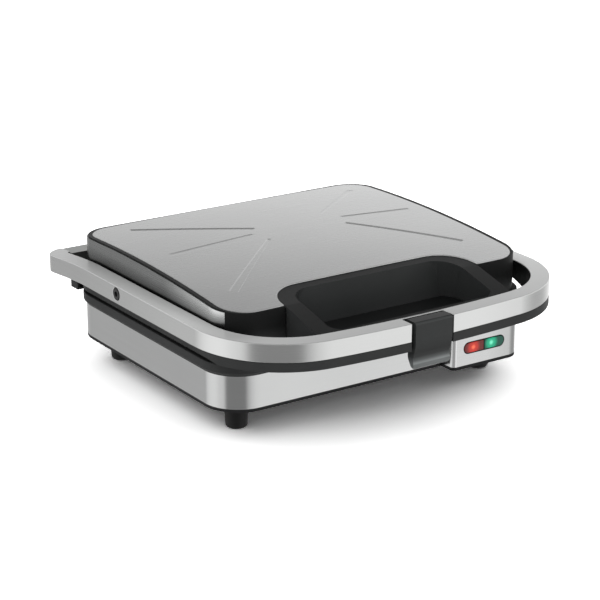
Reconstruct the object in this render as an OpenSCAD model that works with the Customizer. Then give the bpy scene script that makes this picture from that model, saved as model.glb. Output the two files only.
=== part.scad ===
// Countertop sandwich toaster with a hinged lid, a wrap-round steel handle and a clip latch.
// Millimetres, +Z up. The front, with the latch and the lamps, faces -Y.
// The origin is on the surface the feet stand on, midway across and midway front to back.

/* [Base] */
// Width of the steel skirt
base_w = 290; // [270:1:330]
// Depth of the steel skirt
base_d = 240; // [230:1:280]
// Plan radius of the skirt's corners
base_r = 30; // [24:1:36]
// Height of the skirt
skirt_h = 26.5; // [24:0.5:40]
// Thickness of the steel sheet of the skirt, panel, lid and handle
sheet = 1.2; // [0.8:0.1:1.6]
// How far the rim stands out past the skirt
rim_out = 2.5; // [1:0.5:3.5]
// Height of the rim's upright face
rim_h = 6.6; // [6:0.1:9]
// Height of the rim's lower step, flush with the skirt
rim_step = 3; // [2:0.5:5]
// Height of the rim's tongue, which sits inside the top of the skirt
tongue_h = 5; // [4.5:0.5:8]
// Gap between the rim of the base and the rim of the lid
parting = 1.8; // [1:0.1:3]
// Thickness of the bottom cover
cover_t = 2.5; // [2:0.1:4]
// Height of the inner wall that locates the skirt on the bottom cover
upstand_h = 4.5; // [3:0.5:6]

/* [Feet] */
// Height of a foot below the bottom cover
foot_h = 22; // [14:0.5:30]
// Diameter of a foot where it meets the cover
foot_d = 20; // [15:0.5:24]
// Diameter of a foot where it meets the table
foot_tip_d = 17.5; // [12:0.5:20]
// Distance of a foot's centre in from the side of the base
foot_in_x = 27.5; // [24:0.5:32]
// Distance of a foot's centre in from the front or back of the base
foot_in_y = 30; // [26:0.5:34]
// Diameter of the spigot that plugs a foot into the cover
foot_plug_d = 8; // [6:0.5:10]

/* [Lamp panel] */
// Width of the panel box on the front of the base
panel_w = 70; // [56:1:84]
// Distance of the panel's right end in from the side of the skirt
panel_in = 19; // [14:1:24]
// How far the panel box stands out from the skirt
panel_out = 15.5; // [14:0.5:20]
// Radius of the panel's outer front corner
panel_r = 14; // [8:0.5:14]
// Radius of the panel's inner front corner, beside the latch
panel_inner_r = 4; // [3:0.5:8]
// Length of the lamp window
window_w = 41; // [32:0.5:46]
// Height of the lamp window
window_h = 9.6; // [8:0.2:12]
// Width of the bar between the red and the green lens
window_bar = 0.8; // [0.6:0.1:2]
// Diameter of a neon lamp
lamp_d = 5; // [4:0.5:6]

/* [Cooking plates] */
// Distance of a plate's flange in from the side of the base
plate_in_x = 14; // [13:0.5:22]
// Distance of a plate's flange in from the front or back of the base
plate_in_y = 20; // [18:0.5:26]
// Plan radius of a plate's flange
plate_r = 22; // [14:1:28]
// Width of the flange that sits on the rim's ledge
flange_w = 5; // [4:0.5:8]
// Thickness of that flange
flange_t = 3.5; // [3:0.1:5]
// Depth of a plate from its face to its back
plate_h = 12.9; // [11:0.1:15]
// Depth of a sandwich cell
cell_h = 9.5; // [6:0.5:9.5]
// Width of the land round and between the cells
land_w = 6; // [4:0.5:10]
// Height of the ridge that cuts a sandwich across
ridge_h = 5; // [3:0.5:5.5]
// Width of that ridge at its foot
ridge_w = 9; // [6:0.5:14]
// Height of the lower plate's face above the rim
plate_proud = 0.3; // [0.1:0.1:0.6]
// Gap between the two closed plates
plate_gap = 0.6; // [0.4:0.1:1]
// Diameter of the sheathed heating element
element_d = 6.5; // [5:0.1:8]
// Depth of a heat reflector's tray
tray_h = 9.5; // [9:0.5:11]
// Thickness of the reflector's sheet
tray_t = 0.8; // [0.5:0.1:1.2]
// Distance of the plate screws in from the plate's side
screw_in_x = 27; // [24:1:34]
// Distance of the plate screws in from the plate's front or back
screw_in_y = 26; // [24:1:34]
// Diameter of the plate screws' threads
screw_d = 3.5; // [3:0.5:4]

/* [Lid] */
// Distance of the lid's steel side band in from the side of the skirt
lid_in = 3; // [2:0.2:4]
// Distance of the lid's front wall in from the front of the skirt
lid_in_front = 1; // [0.5:0.5:3]
// Distance of the lid's back wall in from the back of the skirt
lid_in_rear = 0.5; // [0.5:0.5:3]
// Plan radius of the lid's corners
lid_r = 27; // [22:1:32]
// Height of the lid's crown above its lower edge
lid_h = 47.2; // [45:0.2:56]
// Radius of the lid's arch from front to back
arch_r = 1407; // [1200:1:2400]
// Distance of the arch's crown behind the middle of the base
arch_back = 37.7; // [20:0.1:50]
// Height of the lid's lower rim
lid_rim_h = 7.6; // [6.6:0.1:8]
// How far the lid's lower rim stands out past its side band
lid_rim_out = 4; // [2:0.5:4.5]
// Width of the black bead round the top plate
bead_w = 3.5; // [2.6:0.1:5]
// Distance of the top plate's front edge behind the lid's front wall
bead_front = 1.3; // [1.1:0.1:4.7]
// How far the bead lies below the top plate
bead_drop = 0.8; // [0.4:0.1:1.2]
// How far the side band's edge lies below the top plate
skin_drop = 1.9; // [1.4:0.1:2.6]
// Distance from the lid's front wall back to the ends of its steel side band
skin_end = 12; // [8:0.5:20]
// Thickness of the lid's moulded walls and deck
lid_wall = 2.5; // [2:0.1:3.5]

/* [Finger pocket] */
// Width of the pocket moulding
pocket_w = 182; // [160:1:186]
// Width of the pocket's side rims
pocket_rim = 14.5; // [8:0.5:18]
// Width of the pocket's rear rim
pocket_rear_rim = 9; // [6:0.5:10]
// Distance of the pocket's rear edge behind the lid's front wall
pocket_in = 32.5; // [30:0.5:33]
// Radius of the pocket's rear corners
pocket_r = 30; // [20:1:32]
// Height of the pocket's floor above the lid's lower edge
pocket_floor = 10.6; // [10.2:0.2:14]
// How far the pocket's rear wall leans forward on its way down
pocket_lean = 5.5; // [5:0.5:9]
// How far the pocket's rims lie below the lid's crown
pocket_drop = 1; // [0.2:0.1:1]
// Thickness of the pocket's walls
pocket_t = 2; // [1.5:0.1:2.4]

/* [Handle] */
// Gap between the handle and the sides of the lid
band_gap = 1.9; // [1.4:0.1:6]
// Reach of the handle in front of the skirt
handle_out = 61.4; // [58:0.2:76]
// Reach of the handle behind the skirt
handle_back = 30.7; // [29.2:0.1:38]
// Radius of the bow of the handle's front
bow_r = 891; // [700:1:1400]
// Radius of the handle's front corners
band_corner_r = 78.4; // [60:0.2:84]
// Radius of the handle's rear corners
band_rear_r = 22.3; // [19:0.1:24]
// Width of the band's top flange
band_flange = 15.2; // [14.8:0.1:16]
// Height of the band's outer web
band_h = 14.6; // [13.6:0.1:16]
// Height of the web's lower edge above the lid's lower edge
band_rise = 13.1; // [12:0.1:16]
// How far the rear ends of the handle's arms fall below the rest of it
band_dip = 6; // [0:0.5:7]
// Length over which the arms fall
dip_run = 72; // [50:1:80]
// How far the black grip reaches below the band along the front
grip_drop = 7.3; // [4:0.1:7.5]
// Distance from the handle's front to the end of the grip's full depth
grip_full = 56.4; // [42:0.2:60]
// Length over which the grip tapers away behind that
grip_taper = 30; // [20:1:50]
// Distance from the handle's side to where the rear bar takes over
rear_gap_in = 19.1; // [18:0.1:22]
// Depth of the rear bar, front to back
rear_bar_d = 16; // [14:0.5:18]
// Height of the rear bar
rear_bar_h = 8.3; // [8:0.1:11]
// Distance of the side screws behind the middle of the base
side_screw_y = 20; // [-40:1:60]
// Diameter of a side screw's head
side_head_d = 9.6; // [8:0.2:11]
// Diameter of a side screw's shank
side_shank_d = 4; // [3:0.5:5]

/* [Latch] */
// Width of the latch
latch_w = 36; // [30:0.5:44]
// Height of the latch
latch_h = 38.6; // [37:0.2:42]
// How far the latch stands out past the handle
latch_proud = 1.5; // [0.5:0.1:2.5]
// Thickness of the latch's front plate
latch_t = 4.2; // [3.4:0.1:5]
// Width of steel left behind the latch's notch
notch_left = 1.3; // [0.8:0.1:2]
// Gap round the latch in its notch
latch_gap = 1.5; // [0.6:0.1:1.6]
// Diameter of the latch pin
latch_pin_d = 3; // [2.5:0.1:3.5]
// Width of the catch arm
catch_w = 24; // [18:0.5:28]
// Thickness of the catch arm
catch_t = 4.5; // [3.5:0.1:4.7]
// Gap between the latch's hook and the catch arm
catch_gap = 0.5; // [0.4:0.1:1]

/* [Hinge] */
// Distance of the hinge axis behind the skirt
hinge_back = 17; // [16:0.5:19]
// Height of the hinge axis above the rim of the base
hinge_rise = 7.4; // [7:0.1:8.4]
// Diameter of the hinge pins
hinge_pin_d = 5; // [4:0.1:6]
// Distance of a hinge knuckle's middle in from the side of the skirt
knuckle_in = 42; // [39:1:47]
// Width of a lid knuckle
knuckle_w = 11; // [8:0.5:14]
// Thickness of a base lug
lug_t = 5; // [4:0.5:6]
// Gap between a knuckle and a lug, along the pin
hinge_gap = 0.5; // [0.4:0.1:1]
// Distance of the hinge housing's end in from the side of the skirt
housing_in = 6; // [4:0.5:10]
// Thickness of the hinge housing's walls
housing_t = 1.8; // [1.5:0.1:2.5]
// Length of the screws that hold the housing, under their heads
housing_screw_l = 8; // [7:0.5:8]
// Length of the rear bar's screws beyond its struts
bar_screw_l = 8; // [5:0.5:8]

/* [Cord inlet] */
// Distance of the cord bush in from the side of the skirt
bush_in = 59; // [50:1:75]
// Diameter of the hole the cord passes through
bush_bore_d = 7; // [6:0.1:8]
// Diameter of the bush where it passes through the skirt
bush_d = 12; // [11:0.5:13]
// Length of the bush
bush_l = 16; // [12:0.5:18]

/* [Hidden] */
$fn = 64;

steel = "#c9cac8";
dark_steel = "#8f9290";
black = "#2c2d2e";
charcoal = "#3a3b3c";
cast = "#4a4a4c";
bright = "#dadcdc";

// Clearances: a fitted edge, a turning pin, a pressed pin, and the reach of a cutting tool
fit = 0.2;
run = 0.06;
press = 0.02;
eps = 1;

// Sizes that follow from the base, the lid and their clearances
knuckle_x = base_w / 2 - knuckle_in;
bush_x = base_w / 2 - bush_in;
plate_w = base_w - 2 * plate_in_x;
plate_d = base_d - 2 * plate_in_y;
screw_x = plate_w / 2 - screw_in_x;
screw_y = plate_d / 2 - screw_in_y;
lid_w = base_w - 2 * lid_in;
lid_front = base_d / 2 - lid_in_front;
lid_rear = base_d / 2 - lid_in_rear;
band_w = lid_w + 2 * (band_gap + band_flange);
band_front = base_d / 2 + handle_out;
band_rear = base_d / 2 + handle_back;
grip_full_y = band_front - grip_full;
grip_end_y = grip_full_y - grip_taper;
rear_gap_x = band_w / 2 - rear_gap_in;
hinge_y = base_d / 2 + hinge_back;
housing_w = base_w - 2 * housing_in;

// The part's origin is midway between the latch's face and the back of the handle, which ends
// part of the way round its rear corners where the rear bar takes over.
rear_turn = max(0, rear_gap_x - band_w / 2 + band_rear_r);
rear_reach = band_rear - band_rear_r + sqrt(pow(band_rear_r, 2) - pow(rear_turn, 2));
centre_y = (band_front + latch_proud - rear_reach) / 2;

// Heights, from the table up
cover_z = foot_h;
skirt_z = cover_z + cover_t;
step_z = skirt_z + skirt_h;
face_z = step_z + rim_step;
rim_z = face_z + rim_h;
lower_face_z = rim_z + plate_proud;
lower_ledge_z = lower_face_z - flange_t;
lower_back_z = lower_face_z - plate_h;
lower_tray_z = lower_back_z - tray_h;
lid_z = rim_z + parting;
upper_face_z = lower_face_z + plate_gap;
upper_ledge_z = upper_face_z + flange_t;
upper_back_z = upper_face_z + plate_h;
upper_tray_z = upper_back_z + tray_h;
lid_step_z = lid_z + lid_rim_h;
band_z = lid_z + band_rise;
band_top_z = band_z + band_h;
grip_z = band_z - grip_drop;
crown_z = lid_z + lid_h;
floor_z = lid_z + pocket_floor;
hinge_z = rim_z + hinge_rise;

// The handle's plan: the bow's centre, and the centres of the corner arcs that meet it smoothly
bow_y = bow_r - band_front;
corner_x = band_w / 2 - band_corner_r;
corner_y = bow_y - sqrt(pow(bow_r - band_corner_r, 2) - pow(corner_x, 2));
bow_reach = norm([corner_x, corner_y - bow_y]);

// The latch
latch_face_y = -band_front - latch_proud;
latch_top_z = band_top_z + 0.7;
latch_low_z = latch_top_z - latch_h;
notch_x = latch_w / 2 + latch_gap;
notch_y = -band_front + band_flange - notch_left;
latch_barrel_r = latch_pin_d / 2 + 3.3;
latch_pin_y = notch_y - 0.4 - latch_barrel_r;
latch_pin_z = latch_top_z - latch_barrel_r;
catch_nose_y = -band_front + 9.4;
catch_top_z = grip_z - 1.7;
catch_foot_t = 3;
catch_screw_d = 3;
catch_low_z = catch_top_z - catch_t;

// The hinge
lug_x = knuckle_w / 2 + hinge_gap;
knuckle_r = hinge_pin_d / 2 + 4;
lug_r = hinge_pin_d / 2 + 3.5;
housing_top_z = rim_z;
housing_low_z = housing_top_z - 6.4;
housing_rear_y = hinge_y - 1;
housing_front_y = base_d / 2 + rim_out;
cheek_y = lid_rear + lid_rim_out + 0.8;
cheek_x = knuckle_x + lug_x + lug_t + 7;
cheek_top_z = hinge_z - 2;
rear_bar_rise = 8.3;
rear_bar_ahead = 6;
rear_bar_z = hinge_z + rear_bar_rise;
rear_bar_y = hinge_y - rear_bar_ahead;
strut_x = knuckle_x - 31;
strut_w = 25;
strut_t = 4;

panel_right = base_w / 2 - panel_in;
panel_left = panel_right - panel_w;
panel_x = (panel_left + panel_right) / 2;
panel_y = -base_d / 2 - panel_out;
window_x = panel_x - 4;
window_z = skirt_z + 14.2;
window_r = window_h / 2;
bush_z = skirt_z + 13.2;
screw_head_d = screw_d + 3.5;
screw_head_h = 2.2;
well_d = screw_head_d + 6;
well_floor = 2.4;
post_d = screw_d + 6;
cell_w = (plate_w - 2 * (flange_w + 2) - land_w) / 2;
cell_d = (plate_d - 2 * (flange_w + 2) - land_w) / 2;
element_x = screw_x - 20;
element_y = screw_y - 20;
element_r = 26;
terminal_x = 12;

module placed() {
    translate([0, centre_y, 0]) children();
}

// A shape and its mirror image across the middle
module both_sides() {
    children();
    mirror([1, 0, 0]) children();
}

// Copies at the four corners of a rectangle
module four(x, y) {
    for (sx = [-1, 1], sy = [-1, 1]) translate([sx * x, sy * y, 0]) children();
}

// Plan rectangle from y0 to y1 with rear corners r1 and front corners r0
module plan(w, y0, y1, r0, r1) {
    for (s = [-1, 1]) {
        translate([s * (w / 2 - r0), y0 + r0]) circle(r0);
        translate([s * (w / 2 - r1), y1 - r1]) circle(r1);
    }
    translate([-w / 2, y0 + r0]) square([w, y1 - y0 - r0 - r1]);
    translate([-w / 2 + r0, y0]) square([w - 2 * r0, r0 + eps]);
    translate([-w / 2 + r1, y1 - r1 - eps]) square([w - 2 * r1, r1 + eps]);
}

// The plan of the base, grown by g
module base_plan(g) {
    plan(base_w + 2 * g, -base_d / 2 - g, base_d / 2 + g, base_r + g, base_r + g);
}

// The plan of a cooking plate's flange, grown by g
module plate_plan(g) {
    plan(plate_w + 2 * g, -plate_d / 2 - g, plate_d / 2 + g, plate_r + g, plate_r + g);
}

// The plan of the lid's side band, grown by g
module lid_plan(g) {
    plan(lid_w + 2 * g, -lid_front - g, lid_rear + g, lid_r + g, lid_r + g);
}

// The plan of the handle's outside, shrunk by g
module band_plan(g) {
    corner = band_corner_r - g;
    rear = band_rear_r - g;
    half = band_w / 2 - g;
    u = [corner_x, corner_y - bow_y] / bow_reach;
    reach = band_corner_r + 20;
    for (s = [-1, 1]) {
        translate([s * corner_x, corner_y]) circle(corner, $fn = 180);
        translate([s * (half - rear), band_rear - g - rear]) circle(rear);
    }
    intersection() {
        translate([0, bow_y]) circle(bow_r - g, $fn = 720);
        polygon([[-corner_x, corner_y], [corner_x, corner_y],
                 [corner_x + reach * u.x, corner_y + reach * u.y],
                 [-corner_x - reach * u.x, corner_y + reach * u.y]]);
    }
    translate([-half, corner_y]) square([2 * half, band_rear - g - rear - corner_y]);
    translate([-half + rear, corner_y]) square([2 * (half - rear), band_rear - g - corner_y]);
}

// The plan of the lid's top plate with the pocket's notch, grown by g
module top_plan(g) {
    side = bead_w + sheet - g;
    difference() {
        plan(lid_w - 2 * side, -lid_front + bead_front - g, lid_rear - side, lid_r - side, lid_r - side);
        pocket_plan(-g - fit / 2);
    }
}

// The plan of the finger pocket's outside, shrunk by g
module pocket_plan(g) {
    y1 = -lid_front + pocket_in;
    plan(pocket_w - 2 * g, -band_front, y1 - g, 10, pocket_r - g);
}

// Everything under the lid's arch, lowered by drop
module under_arch(drop) {
    reach = band_front + 20;
    rotate([90, 0, 90]) linear_extrude(lid_w + 40, center = true) intersection() {
        translate([arch_back, crown_z - arch_r - drop]) circle(arch_r, $fn = 720);
        translate([-reach, rim_z]) square([2 * reach, lid_h + 20]);
    }
}

// A side profile, points as [y, z], carried across the width w
module profile(points, w) {
    rotate([90, 0, 90]) linear_extrude(w, center = true) polygon(points);
}

// A pan-head screw pointing up, the underside of its head at the origin
module screw_up(length, d = screw_d, head_d = screw_head_d) {
    difference() {
        translate([0, 0, -screw_head_h]) cylinder(d = head_d, h = screw_head_h);
        for (a = [0, 90]) rotate(a) translate([0, 0, -screw_head_h])
            cube([head_d * 0.6, 1, 1.6], center = true);
    }
    cylinder(d = d, h = length);
}

module base_skirt() placed() color(steel) difference() {
    translate([0, 0, skirt_z]) linear_extrude(skirt_h) difference() {
        base_plan(0);
        base_plan(-sheet);
    }
    translate([window_x, -base_d / 2, window_z]) cube([window_w, 12, window_h + 4], center = true);
    translate([bush_x, base_d / 2, bush_z]) rotate([90, 0, 0])
        cylinder(d = bush_d + 2 * press, h = 12, center = true);
    catch_screw_places() cylinder(d = catch_screw_d + 2 * fit, h = 12, center = true);
}

// The base's rim: an outer face, a step flush with the skirt, a ledge for the plate, and a tongue
module base_rim() placed() color(charcoal) difference() {
    union() {
        translate([0, 0, face_z]) linear_extrude(rim_h) base_plan(rim_out);
        translate([0, 0, step_z]) linear_extrude(rim_step + eps) base_plan(0);
        translate([0, 0, step_z - tongue_h]) linear_extrude(tongue_h + eps) base_plan(-sheet - fit);
    }
    translate([0, 0, lower_ledge_z]) linear_extrude(rim_h + eps) plate_plan(0.5);
    translate([0, 0, step_z]) linear_extrude(rim_h) plate_plan(0.5 - flange_w);
    translate([0, 0, step_z - tongue_h - eps]) linear_extrude(tongue_h + eps)
        base_plan(-sheet - fit - 2.2);
    housing_screw_places() cylinder(d = screw_d + 2 * press, h = 12, center = true);
    catch_screw_places() cylinder(d = catch_screw_d + 2 * press, h = 12, center = true);
}

module bottom_cover() placed() color(black) difference() {
    union() {
        translate([0, 0, cover_z]) linear_extrude(cover_t) {
            base_plan(0);
            panel_plan(0);
        }
        translate([0, 0, skirt_z]) linear_extrude(upstand_h) difference() {
            base_plan(-sheet - fit);
            base_plan(-sheet - fit - 2);
        }
        four(screw_x, screw_y) translate([0, 0, skirt_z])
            cylinder(d = well_d, h = lower_tray_z - skirt_z);
    }
    four(screw_x, screw_y) {
        translate([0, 0, cover_z - eps])
            cylinder(d = screw_head_d + 1, h = lower_tray_z - well_floor - cover_z + eps);
        cylinder(d = screw_d + 0.4, h = lower_tray_z + eps);
    }
    four(base_w / 2 - foot_in_x, base_d / 2 - foot_in_y) translate([0, 0, cover_z - eps])
        cylinder(d = foot_plug_d + 2 * press, h = cover_t + 2 * eps);
    for (sx = [-1, 1], i = [-4 : 4]) translate([sx * 46 + i * 8, 0, cover_z - eps])
        translate([-1.5, -28, 0]) cube([3, 56, cover_t + 2 * eps]);
}

module feet() placed() color(black)
    four(base_w / 2 - foot_in_x, base_d / 2 - foot_in_y) {
        rotate_extrude() polygon([[0, 0], [foot_tip_d / 2 - 2.2, 0], [foot_tip_d / 2 - 0.6, 0.7],
                                  [foot_tip_d / 2, 2.3], [foot_d / 2, foot_h], [0, foot_h]]);
        cylinder(d = foot_plug_d, h = foot_h + cover_t + 2);
    }

module base_screws() placed() color(bright)
    four(screw_x, screw_y) translate([0, 0, lower_tray_z - well_floor])
        screw_up(well_floor + tray_h - 1);

// The plan of the lamp panel's box in front of the skirt, shrunk by g
module panel_plan(g) intersection() {
    translate([panel_left, panel_y]) square([panel_w, panel_out]);
    panel_outline(g);
}

module panel_outline(g) {
    y0 = panel_y + g;
    left = panel_left + g;
    right = panel_right - g;
    rl = panel_inner_r - g;
    rr = panel_r - g;
    back = -base_d / 2 - panel_y - g;
    translate([left + rl, y0 + rl]) circle(rl);
    translate([right - rr, y0 + rr]) circle(rr);
    translate([left, y0 + rl]) square([right - left - rr, back - rl]);
    translate([left + rl, y0]) square([right - left - rl - rr, rl + eps]);
    translate([right - rr - eps, y0 + rr]) square([rr + eps, back - rr]);
}

// A lying pill in the panel's face, d deep along Y, grown by g
module pill(y, d, g) {
    translate([window_x, y, window_z]) rotate([-90, 0, 0]) linear_extrude(d) {
        for (s = [-1, 1]) translate([s * (window_w / 2 - window_r), 0]) circle(window_r + g);
        square([window_w - 2 * window_r, 2 * (window_r + g)], center = true);
    }
}

module lamp_panel() placed() color(steel) difference() {
    translate([0, 0, skirt_z]) linear_extrude(skirt_h) difference() {
        panel_plan(0);
        panel_plan(sheet);
        translate([panel_left + panel_inner_r, -base_d / 2 - 2])
            square([panel_w - panel_inner_r - panel_r, 4]);
    }
    pill(panel_y - eps, sheet + 2 * eps, 0.1);
}

module panel_housing() placed() color(black) difference() {
    union() {
        translate([0, 0, skirt_z]) linear_extrude(skirt_h) panel_plan(sheet + fit / 2);
        translate([0, 0, step_z]) linear_extrude(1.5) panel_plan(0);
    }
    translate([0, 0, skirt_z - eps]) linear_extrude(skirt_h - 1)
        panel_plan(sheet + fit / 2 + 2);
    translate([window_x, -base_d / 2, window_z]) cube([window_w, 8, window_h + 4], center = true);
    pill(panel_y - eps, sheet + 6, 0.1);
}

module lens_frame() placed() color(black) difference() {
    pill(panel_y, sheet + fit / 2 + 2, 0);
    difference() {
        pill(panel_y - eps, sheet + 6, -0.6);
        translate([window_x, panel_y, window_z])
            cube([window_bar, 12, window_h + 4], center = true);
    }
}

// Half of the lamp window, on the left for s = -1 and on the right for s = 1
module lens(s) {
    intersection() {
        pill(panel_y - 0.3, sheet + fit / 2 + 2, -0.65);
        translate([window_x + s * (window_w / 2 + window_bar / 2 + 0.05), panel_y, window_z])
            cube([window_w, 20, window_h + 4], center = true);
    }
}

module red_lens() placed() color("#c8352c") lens(-1);

module green_lens() placed() color("#1fa26a") lens(1);

module lamp_places() {
    for (s = [-1, 1]) translate([window_x + s * window_w / 4, panel_y, window_z])
        rotate([-90, 0, 0]) children();
}

module lamp_holder() placed() color("#e8e4da") difference() {
    front_y = panel_y + sheet + 6.5;
    translate([window_x - window_w / 2 + 2, front_y, window_z - window_h / 2])
        cube([window_w - 4, -base_d / 2 - front_y, window_h]);
    lamp_places() translate([0, 0, sheet + 5])
        cylinder(d = lamp_d + 2 * press, h = 6, $fn = 32);
}

module neon_lamps() placed() color("#f0b070")
    lamp_places() translate([0, 0, sheet + 4]) {
        cylinder(d = lamp_d, h = 6, $fn = 32);
        cylinder(d = 3, h = 2, $fn = 32);
    }

// A cast plate, face up at z = 0: a flange, a body with four cells, and a ridge across each cell
module cooking_plate() {
    difference() {
        union() {
            translate([0, 0, -flange_t]) linear_extrude(flange_t) plate_plan(0);
            translate([0, 0, -plate_h]) linear_extrude(plate_h) plate_plan(-flange_w);
            four(screw_x, screw_y) translate([0, 0, -plate_h - tray_h + tray_t])
                cylinder(d = post_d, h = tray_h - tray_t + eps);
        }
        four((cell_w + land_w) / 2, (cell_d + land_w) / 2) translate([0, 0, -cell_h])
            linear_extrude(cell_h + eps) plan(cell_w, -cell_d / 2, cell_d / 2, 12, 12);
        four(screw_x, screw_y) translate([0, 0, -plate_h - tray_h])
            cylinder(d = screw_d + 2 * press, h = tray_h + 1);
    }
    for (sx = [-1, 1], sy = [-1, 1])
        translate([sx * (cell_w + land_w) / 2, sy * (cell_d + land_w) / 2, -cell_h])
            cell_ridge(sx * sy);
}

// The ridge across one cell, along either diagonal, ending inside the cell's walls
module cell_ridge(s) {
    angle = s * atan2(cell_d, cell_w);
    intersection() {
        rotate([0, 0, angle]) rotate([90, 0, 90])
            linear_extrude(norm([cell_w, cell_d]), center = true)
                polygon([[-ridge_w / 2, -1], [ridge_w / 2, -1], [ridge_w / 2, 0],
                         [0.75, ridge_h], [-0.75, ridge_h], [-ridge_w / 2, 0]]);
        translate([0, 0, -1]) linear_extrude(ridge_h + 2)
            plan(cell_w + 0.4, -cell_d / 2 - 0.2, cell_d / 2 + 0.2, 12, 12);
    }
}

// A sheathed element below z = 0: a rounded loop, open at the rear, with two pins going down
module element() {
    z = -element_d / 2 - 0.1;
    translate([0, 0, z]) {
        both_sides() {
            translate([element_x, -element_y + element_r, 0]) rotate([-90, 0, 0])
                cylinder(d = element_d, h = 2 * (element_y - element_r), $fn = 32);
            translate([0, -element_y, 0]) rotate([0, 90, 0])
                cylinder(d = element_d, h = element_x - element_r, $fn = 32);
            translate([terminal_x, element_y, 0]) rotate([0, 90, 0])
                cylinder(d = element_d, h = element_x - element_r - terminal_x, $fn = 32);
            translate([terminal_x, element_y, 0]) sphere(d = element_d, $fn = 32);
            translate([terminal_x, element_y, -tray_h - 3])
                cylinder(d = element_d, h = tray_h + 3, $fn = 32);
            for (s = [-1, 1]) translate([element_x - element_r, s * (element_y - element_r), 0])
                rotate(s > 0 ? 0 : -90) rotate_extrude(angle = 90)
                    translate([element_r, 0]) circle(d = element_d, $fn = 32);
        }
    }
}

// A reflector tray, its mouth up at z = 0
module reflector() {
    difference() {
        translate([0, 0, -tray_h]) linear_extrude(tray_h) plate_plan(-flange_w - 0.5);
        translate([0, 0, -tray_h + tray_t]) linear_extrude(tray_h)
            plate_plan(-flange_w - 0.5 - tray_t);
        four(screw_x, screw_y) translate([0, 0, -tray_h - eps])
            cylinder(d = screw_d + 0.4, h = tray_h);
        for (s = [-1, 1]) translate([s * terminal_x, element_y, -tray_h - eps])
            cylinder(d = element_d + 2, h = tray_h);
    }
}

// Carries a piece made for the lower plate's back over to the upper plate's back
module turned_over(z) {
    translate([0, 0, z]) mirror([0, 0, 1]) children();
}

module lower_plate() placed() color(cast) translate([0, 0, lower_face_z]) cooking_plate();

module lower_element() placed() color(dark_steel) translate([0, 0, lower_back_z]) element();

module lower_reflector() placed() color(bright) translate([0, 0, lower_back_z]) reflector();

module upper_plate() placed() color(cast) turned_over(upper_face_z) cooking_plate();

module upper_element() placed() color(dark_steel) turned_over(upper_back_z) element();

module upper_reflector() placed() color(bright) turned_over(upper_back_z) reflector();

module upper_screws() placed() color(bright)
    four(screw_x, screw_y) turned_over(upper_tray_z + well_floor)
        screw_up(well_floor + tray_h - 1);

module thermostat() placed() color("#e8e4da") translate([0, 0, lower_tray_z]) {
    translate([0, 0, -2]) cylinder(d = 17, h = 2);
    translate([0, 0, -7]) cylinder(d = 14, h = 5 + eps / 2);
    for (s = [-1, 1]) translate([s * 4 - 0.4, -3, -10]) cube([0.8, 6, 4]);
}

module thermal_fuse() placed() color(bright) translate([32, 0, lower_tray_z - 2.5]) {
    rotate([90, 0, 0]) cylinder(d = 4, h = 11, center = true, $fn = 32);
    translate([-3.5, -1.5, 1]) cube([7, 3, 1.5]);
}

module terminal_block() placed() color("#e8e4da") difference() {
    y = base_d / 2 - 46;
    translate([bush_x - 40, y, skirt_z]) cube([30, 16, 11]);
    for (i = [0 : 2]) translate([bush_x - 35 + i * 10, y + 8, skirt_z + 5.5]) {
        rotate([90, 0, 0]) cylinder(d = 3.4, h = 20, center = true, $fn = 32);
        cylinder(d = 4, h = 8, $fn = 32);
    }
}

// A bush with a flange outside the skirt, a shoulder inside it and a hole for the cord
module cord_bush() placed() color(black)
    translate([bush_x, base_d / 2 + 3, bush_z]) rotate([90, 0, 0]) difference() {
        union() {
            cylinder(d = bush_d + 5, h = 3);
            cylinder(d = bush_d, h = bush_l);
            translate([0, 0, 3 + sheet]) cylinder(d = bush_d + 2.5, h = 3);
        }
        translate([0, 0, -eps]) cylinder(d = bush_bore_d, h = bush_l + 2 * eps);
    }

module housing_screw_places() {
    for (i = [-1 : 1]) translate([i * (strut_x - 12), housing_front_y, face_z + rim_h / 2])
        rotate([90, 0, 0]) children();
}

// A trough behind the rim that carries the lugs: open to the front, with deep cheeks at its ends
module hinge_housing() placed() color(black) {
    depth = housing_rear_y - housing_front_y;
    difference() {
        union() {
            translate([-cheek_x, housing_front_y, housing_low_z])
                cube([2 * cheek_x, depth, housing_top_z - housing_low_z]);
            both_sides() translate([cheek_x - eps, cheek_y, housing_low_z])
                cube([housing_w / 2 - cheek_x + eps, housing_rear_y - cheek_y,
                      cheek_top_z - housing_low_z]);
        }
        both_sides() {
            translate([cheek_x, cheek_y - eps, housing_low_z + housing_t])
                cube([housing_w / 2 - cheek_x - housing_t,
                      housing_rear_y - housing_t - cheek_y + eps,
                      cheek_top_z - housing_low_z - 2 * housing_t]);
            translate([strut_x - 32, housing_front_y + 2 * housing_t, housing_low_z - eps])
                cube([44, depth - 3 * housing_t, housing_top_z - housing_low_z - housing_t]);
        }
        housing_screw_places() {
            cylinder(d = screw_d + 0.4, h = 12, center = true);
            translate([0, 0, -40]) cylinder(d = screw_head_d + 0.6, h = 36);
        }
    }
    both_sides() translate([housing_w / 2 - 6, cheek_y, housing_low_z + housing_t])
        cube([1, housing_rear_y - cheek_y - eps, cheek_top_z - housing_low_z - housing_t - eps]);
    both_sides() for (s = [-1, 1])
        translate([knuckle_x + s * (lug_x + lug_t / 2), 0, 0]) hinge_lug();
}

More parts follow.
